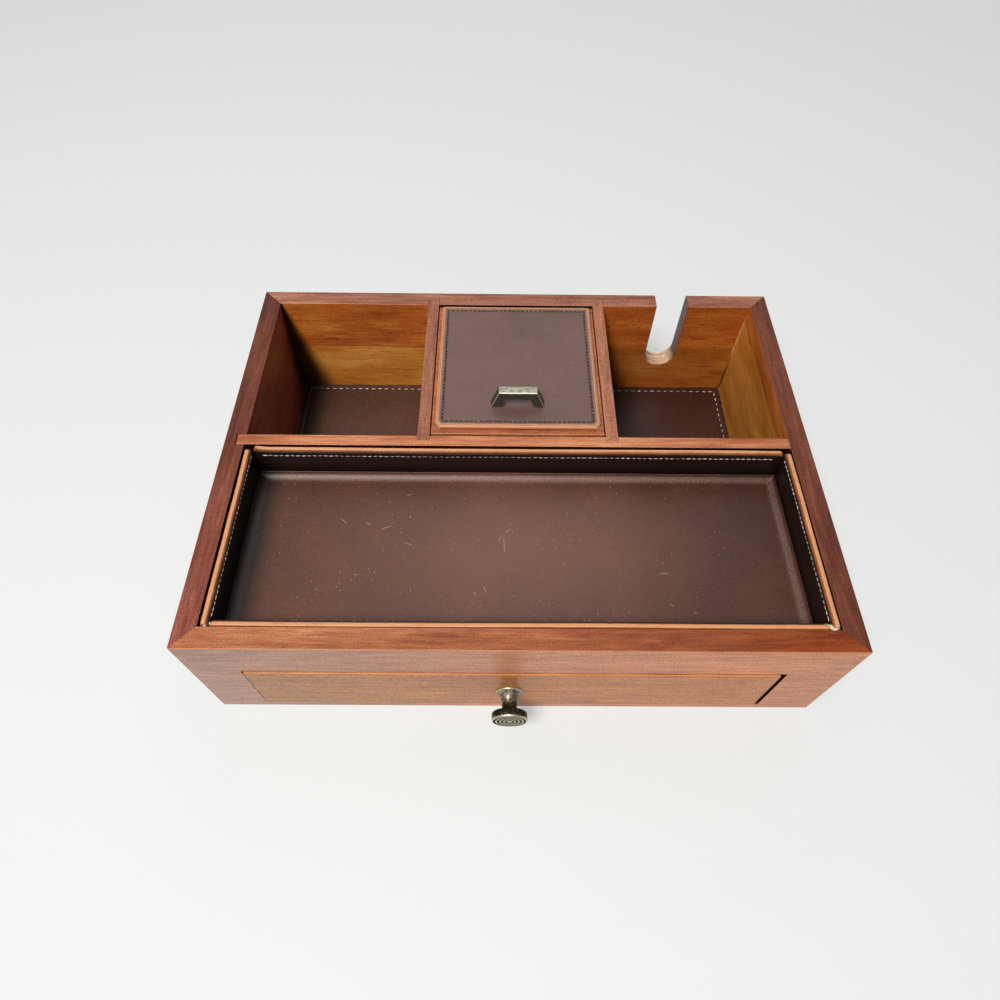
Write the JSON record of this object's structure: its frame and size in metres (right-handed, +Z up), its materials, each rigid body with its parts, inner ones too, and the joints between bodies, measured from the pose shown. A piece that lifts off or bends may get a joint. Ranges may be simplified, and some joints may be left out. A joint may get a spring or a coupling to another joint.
{
  "type": "valet box with drawer",
  "caption": "Wooden valet box with a leather-lined front tray over a drawer, open back compartments, a hinged padded lid over a centre well and a cable notch.",
  "frame": {"origin": "middle of the case's flat underside, which stands on the table", "axes": "+Z up, +X to the right and +Y to the back; the drawer opens towards -Y"},
  "size_m": [0.32, 0.2576, 0.0953],
  "materials": {
    "case_wood": "satin, red-brown stain and clear lacquer",
    "drawer_wood": "satin, red-brown stain and clear lacquer",
    "plain_wood": "sanded, thin stain",
    "plywood": "sanded",
    "brown_leather": "smooth, low sheen",
    "lid_leather": "smooth, low sheen",
    "wall_leather": "smooth, tan at the folded upper edge",
    "drawer_lining": "smooth, low sheen",
    "knob_metal": "antique, dark in the grooves",
    "handle_metal": "antique, brushed on top",
    "steel": "zinc plated"
  },
  "bodies": {
    "case": {"front_board": "case_wood", "back_board": "case_wood", "left_board": "case_wood", "right_board": "case_wood", "bottom_panel": "plywood", "cross_board": "case_wood", "divider_left": "case_wood", "divider_right": "case_wood", "hinge_pin_left": "steel", "hinge_pin_right": "steel", "tray_shelf": "plywood", "drawer_guide_left": "plain_wood", "drawer_guide_right": "plain_wood", "lid_rest_strip": "plain_wood", "tray_floor": "brown_leather", "tray_wall_left": "wall_leather", "tray_wall_right": "wall_leather", "tray_wall_front": "wall_leather", "tray_wall_back": "wall_leather", "pad_left": "brown_leather", "pad_centre": "brown_leather", "pad_right": "brown_leather"},
    "lid": {"lid_board": "case_wood", "lid_pad": "lid_leather", "lid_handle": "handle_metal", "lid_handle_screws": "steel"},
    "drawer": {"drawer_front": "drawer_wood", "drawer_side_left": "plain_wood", "drawer_side_right": "plain_wood", "drawer_back": "plain_wood", "drawer_bottom": "plywood", "drawer_liner": "drawer_lining", "drawer_knob": "knob_metal", "drawer_knob_screw": "steel"}
  },
  "joints": [
    {"name": "lid_hinge", "type": "hinge", "parent": "case", "child": "lid", "pos_m": [0, 0.1025, 0.0785], "axis": [-1, 0, 0], "range_deg": [0, 105]},
    {"name": "drawer_slide", "type": "slide", "parent": "case", "child": "drawer", "axis": [0, -1, 0], "range_m": [0, 0.085]}
  ]
}
